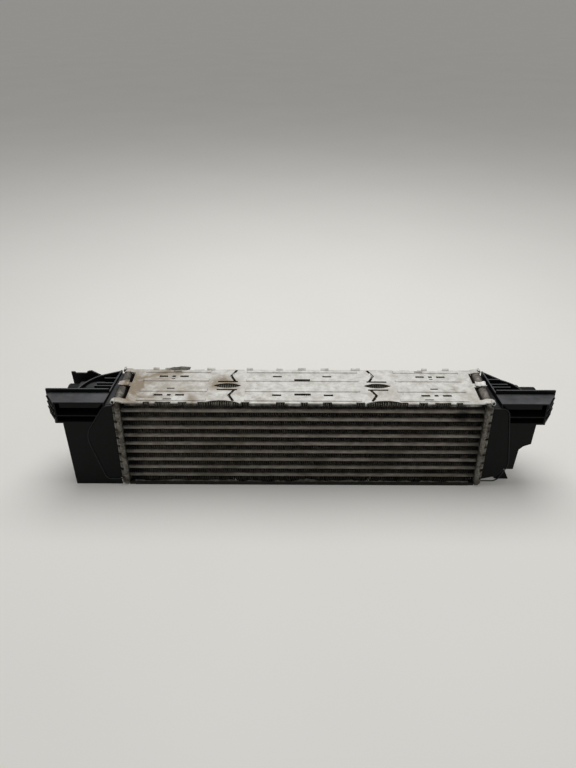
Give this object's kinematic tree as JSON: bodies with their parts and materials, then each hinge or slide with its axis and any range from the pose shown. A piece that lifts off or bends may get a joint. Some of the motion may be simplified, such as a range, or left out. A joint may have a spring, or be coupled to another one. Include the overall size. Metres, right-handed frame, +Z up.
{
  "type": "intercooler",
  "caption": "Charge-air cooler with a flat tube-and-fin core between two crimped plastic end tanks that carry mounting rails and round air ports.",
  "frame": {"origin": "on the floor, under the middle of the core", "axes": "+X along the core to the viewer's right, +Y to the back, through the fins, +Z up"},
  "size_m": [0.7258, 0.1, 0.149],
  "materials": {
    "tube": "dull, oxidised",
    "fin": "dirty",
    "plate": "weathered, stained",
    "header": "dull, oxidised",
    "gasket": "matt",
    "tank": "moulded, dusty"
  },
  "bodies": {
    "root": {"tube_1": "tube", "tube_2": "tube", "tube_3": "tube", "tube_4": "tube", "tube_5": "tube", "tube_6": "tube", "tube_7": "tube", "tube_8": "tube", "tube_9": "tube", "turbulator_1": "tube", "turbulator_2": "tube", "turbulator_3": "tube", "turbulator_4": "tube", "turbulator_5": "tube", "turbulator_6": "tube", "turbulator_7": "tube", "turbulator_8": "tube", "turbulator_9": "tube", "fin_row_1": "fin", "fin_row_2": "fin", "fin_row_3": "fin", "fin_row_4": "fin", "fin_row_5": "fin", "fin_row_6": "fin", "fin_row_7": "fin", "fin_row_8": "fin", "fin_row_9": "fin", "fin_row_10": "fin", "side_plate_top": "plate", "side_plate_bottom": "plate", "header_left": "header", "header_right": "header", "gasket_left": "gasket", "gasket_right": "gasket", "tank_left": "tank", "tank_right": "tank"}
  },
  "joints": []
}
